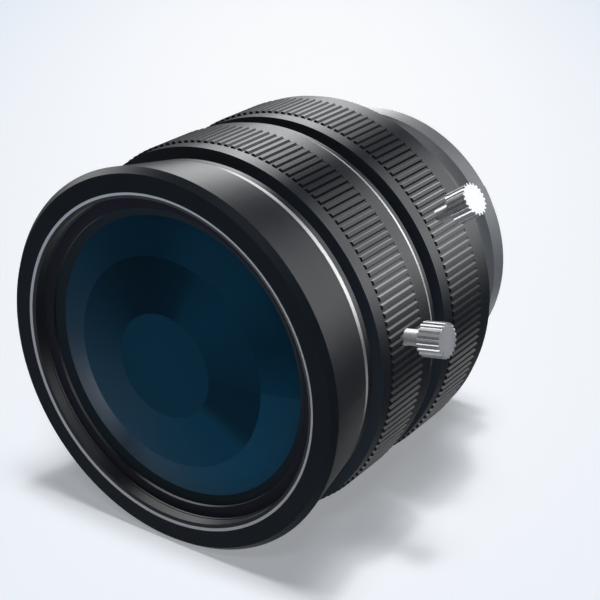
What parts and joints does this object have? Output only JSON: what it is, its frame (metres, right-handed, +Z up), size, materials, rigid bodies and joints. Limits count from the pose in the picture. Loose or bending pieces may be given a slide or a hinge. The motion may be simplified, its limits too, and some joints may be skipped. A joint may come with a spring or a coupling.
{
  "type": "line scan lens",
  "caption": "Line scan lens with a screw camera mount, ribbed focus and iris rings, a thumbscrew lock on each ring, a working leaf iris and a threaded front barrel.",
  "frame": {"origin": "centre of the mount flange's rear face, where the lens seats on a camera", "axes": "+Y along the optical axis towards the camera, -Y towards the scene, +Z up, +X to the right seen from the front of the lens"},
  "size_m": [0.0666, 0.0658, 0.0602],
  "materials": {
    "barrel_black": "black anodised, satin, turned",
    "ring_black": "black anodised, satin, with milled ribs",
    "inner_black": "black anodised, matt",
    "retainer_black": "black anodised, satin, with a faint purple cast",
    "coated_glass": "polished optical glass with a blue-green antireflection coating",
    "blade_steel": "blackened spring steel, matt",
    "pin_steel": "ground steel",
    "screw_black": "black oxide",
    "helicoid_brass": "turned brass, greased",
    "thumbscrew_steel": "bright nickel-plated, splined head",
    "pad_nylon": "natural nylon"
  },
  "bodies": {
    "rear_body": {"rear_housing": "barrel_black", "mount_flange": "barrel_black", "mount_screws": "screw_black", "guide_sleeve": "inner_black", "guide_screws": "screw_black", "focus_stop_pin": "pin_steel"},
    "focus_ring": {"focus_ring": "ring_black", "focus_helicoid": "helicoid_brass", "focus_grub_screws": "screw_black", "focus_retainer": "helicoid_brass"},
    "focus_lock_pad": {"focus_lock_pad": "pad_nylon"},
    "focus_lock_screw": {"focus_lock_screw": "thumbscrew_steel"},
    "lens_block": {"main_barrel": "inner_black", "front_barrel": "barrel_black", "front_retaining_ring": "retainer_black", "front_element": "coated_glass", "front_doublet_crown": "coated_glass", "front_doublet_flint": "coated_glass", "doublet_retaining_ring": "retainer_black", "iris_base_plate": "blade_steel", "iris_cover_plate": "blade_steel", "iris_snap_ring": "blade_steel", "rear_cell": "inner_black", "rear_doublet_flint": "coated_glass", "rear_doublet_crown": "coated_glass", "rear_spacer": "retainer_black", "rear_element": "coated_glass", "rear_retaining_ring": "retainer_black", "guide_pins": "pin_steel"},
    "iris_ring": {"iris_ring": "ring_black", "iris_cam_ring": "blade_steel", "iris_drive_pin": "pin_steel"},
    "iris_lock_pad": {"iris_lock_pad": "pad_nylon"},
    "iris_lock_screw": {"iris_lock_screw": "thumbscrew_steel"},
    "iris_blade_1": {"iris_blade_1": "blade_steel"},
    "iris_blade_2": {"iris_blade_2": "blade_steel"},
    "iris_blade_3": {"iris_blade_3": "blade_steel"},
    "iris_blade_4": {"iris_blade_4": "blade_steel"},
    "iris_blade_5": {"iris_blade_5": "blade_steel"},
    "iris_blade_6": {"iris_blade_6": "blade_steel"},
    "iris_blade_7": {"iris_blade_7": "blade_steel"},
    "iris_blade_8": {"iris_blade_8": "blade_steel"}
  },
  "joints": [
    {"name": "focus_turn", "type": "hinge", "parent": "rear_body", "child": "focus_ring", "pos_m": [0, -0.0235, 0], "axis": [0, -1, 0], "range_deg": [0, 150]},
    {"name": "lens_slide", "type": "slide", "parent": "rear_body", "child": "lens_block", "axis": [0, -1, 0], "range_m": [0, 0.005]},
    {"name": "iris_turn", "type": "hinge", "parent": "lens_block", "child": "iris_ring", "pos_m": [0, -0.04035, 0], "axis": [0, -1, 0], "range_deg": [0, 40]},
    {"name": "iris_blade_1_pivot", "type": "hinge", "parent": "lens_block", "child": "iris_blade_1", "pos_m": [0.0193, -0.03905, 0], "axis": [0, -1, 0], "range_deg": [0, 30]},
    {"name": "iris_blade_2_pivot", "type": "hinge", "parent": "lens_block", "child": "iris_blade_2", "pos_m": [0.01365, -0.03875, 0.01365], "axis": [0, -1, 0], "range_deg": [0, 30]},
    {"name": "iris_blade_3_pivot", "type": "hinge", "parent": "lens_block", "child": "iris_blade_3", "pos_m": [0, -0.03845, 0.0193], "axis": [0, -1, 0], "range_deg": [0, 30]},
    {"name": "iris_blade_4_pivot", "type": "hinge", "parent": "lens_block", "child": "iris_blade_4", "pos_m": [-0.01365, -0.03815, 0.01365], "axis": [0, -1, 0], "range_deg": [0, 30]},
    {"name": "iris_blade_5_pivot", "type": "hinge", "parent": "lens_block", "child": "iris_blade_5", "pos_m": [-0.0193, -0.03785, 0], "axis": [0, -1, 0], "range_deg": [0, 30]},
    {"name": "iris_blade_6_pivot", "type": "hinge", "parent": "lens_block", "child": "iris_blade_6", "pos_m": [-0.01365, -0.03755, -0.01365], "axis": [0, -1, 0], "range_deg": [0, 30]},
    {"name": "iris_blade_7_pivot", "type": "hinge", "parent": "lens_block", "child": "iris_blade_7", "pos_m": [0, -0.03725, -0.0193], "axis": [0, -1, 0], "range_deg": [0, 30]},
    {"name": "iris_blade_8_pivot", "type": "hinge", "parent": "lens_block", "child": "iris_blade_8", "pos_m": [0.01365, -0.03695, -0.01365], "axis": [0, -1, 0], "range_deg": [0, 30]},
    {"name": "focus_pad_slide", "type": "slide", "parent": "focus_ring", "child": "focus_lock_pad", "axis": [0.8192, 0, 0.5736], "range_m": [0, 0.0008]},
    {"name": "focus_screw_turn", "type": "hinge", "parent": "focus_lock_pad", "child": "focus_lock_screw", "pos_m": [0.02703, -0.0238, 0.01893], "axis": [0.8192, 0, 0.5736], "range_deg": [0, 720]},
    {"name": "iris_pad_slide", "type": "slide", "parent": "iris_ring", "child": "iris_lock_pad", "axis": [0.9848, 0, 0.1736], "range_m": [0, 0.0008]},
    {"name": "iris_screw_turn", "type": "hinge", "parent": "iris_lock_pad", "child": "iris_lock_screw", "pos_m": [0.0325, -0.0416, 0.00573], "axis": [0.9848, 0, 0.1736], "range_deg": [0, 720]}
  ],
  "couplings": [
    {"joint": "focus_turn", "follows": "lens_slide", "rad_per_m": 523.6},
    {"joint": "iris_blade_1_pivot", "follows": "iris_turn", "ratio": 0.75},
    {"joint": "iris_blade_2_pivot", "follows": "iris_turn", "ratio": 0.75},
    {"joint": "iris_blade_3_pivot", "follows": "iris_turn", "ratio": 0.75},
    {"joint": "iris_blade_4_pivot", "follows": "iris_turn", "ratio": 0.75},
    {"joint": "iris_blade_5_pivot", "follows": "iris_turn", "ratio": 0.75},
    {"joint": "iris_blade_6_pivot", "follows": "iris_turn", "ratio": 0.75},
    {"joint": "iris_blade_7_pivot", "follows": "iris_turn", "ratio": 0.75},
    {"joint": "iris_blade_8_pivot", "follows": "iris_turn", "ratio": 0.75},
    {"joint": "focus_screw_turn", "follows": "focus_pad_slide", "rad_per_m": 15708},
    {"joint": "iris_screw_turn", "follows": "iris_pad_slide", "rad_per_m": 15708}
  ]
}
